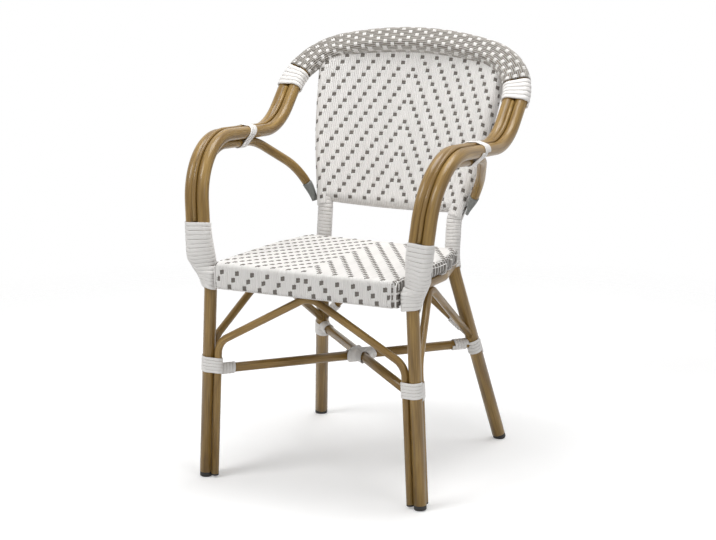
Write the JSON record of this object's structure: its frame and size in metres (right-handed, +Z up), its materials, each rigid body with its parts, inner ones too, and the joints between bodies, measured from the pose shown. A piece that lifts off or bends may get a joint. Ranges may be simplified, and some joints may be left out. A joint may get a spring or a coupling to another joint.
{
  "type": "armchair",
  "caption": "Stacking bistro armchair of bent bamboo-look tubes tied with flat cord, with a woven seat, woven curved back and woven hoop.",
  "frame": {"origin": "the middle of the chair's box on the floor", "axes": "+Z up, -Y the way a sitter faces, +X to the sitter's left as they sit"},
  "size_m": [0.5744, 0.587, 0.8669],
  "materials": {
    "tube": "semi-gloss bamboo-look coating on metal tube, fine lengthwise grain",
    "strand": "flat woven cord, off-white with warm grey strands in the pattern",
    "band": "flat woven cord, warm grey with off-white strands",
    "end": "dull grey, flattened tube end",
    "foot": "black, matt"
  },
  "bodies": {
    "root": {"front_leg_and_arm_tube": "tube", "outer_arm_tube": "tube", "hoop_wrap_right": "strand", "hoop_wrap_left": "strand", "hoop_weave": "band", "rear_leg_and_post_right": "tube", "rear_leg_and_post_left": "tube", "corner_cord_right": "strand", "corner_cord_left": "strand", "post_cord_right": "strand", "post_cord_left": "strand", "rear_leg_cord_right": "strand", "rear_leg_cord_left": "strand", "front_leg_cord_right": "strand", "front_leg_cord_left": "strand", "front_rail": "tube", "seat_weave": "strand", "seat_ring": "tube", "side_rail_right": "tube", "side_rail_left": "tube", "rear_rail": "tube", "front_brace": "tube", "side_brace_right": "tube", "side_brace_left": "tube", "rear_brace": "tube", "stretcher_whole": "tube", "stretcher_front_half": "tube", "stretcher_rear_half": "tube", "crossing_binding": "strand", "front_stretcher_sleeve_right": "strand", "front_stretcher_sleeve_left": "strand", "rear_stretcher_sleeve_right": "strand", "rear_stretcher_sleeve_left": "strand", "rear_brace_sleeve_right": "strand", "rear_brace_sleeve_left": "strand", "arm_groove_rod_right": "tube", "arm_groove_rod_left": "tube", "arm_brace_right": "tube", "arm_brace_left": "tube", "arm_brace_end_right": "end", "arm_brace_end_left": "end", "arm_tie_right": "strand", "arm_tie_left": "strand", "back_weave": "strand", "back_rail": "tube", "front_foot_right": "foot", "front_foot_left": "foot", "rear_foot_right": "foot", "rear_foot_left": "foot", "inner_tail_cap_right": "foot", "inner_tail_cap_left": "foot", "rear_tail_cap_right": "foot", "rear_tail_cap_left": "foot"}
  },
  "joints": []
}
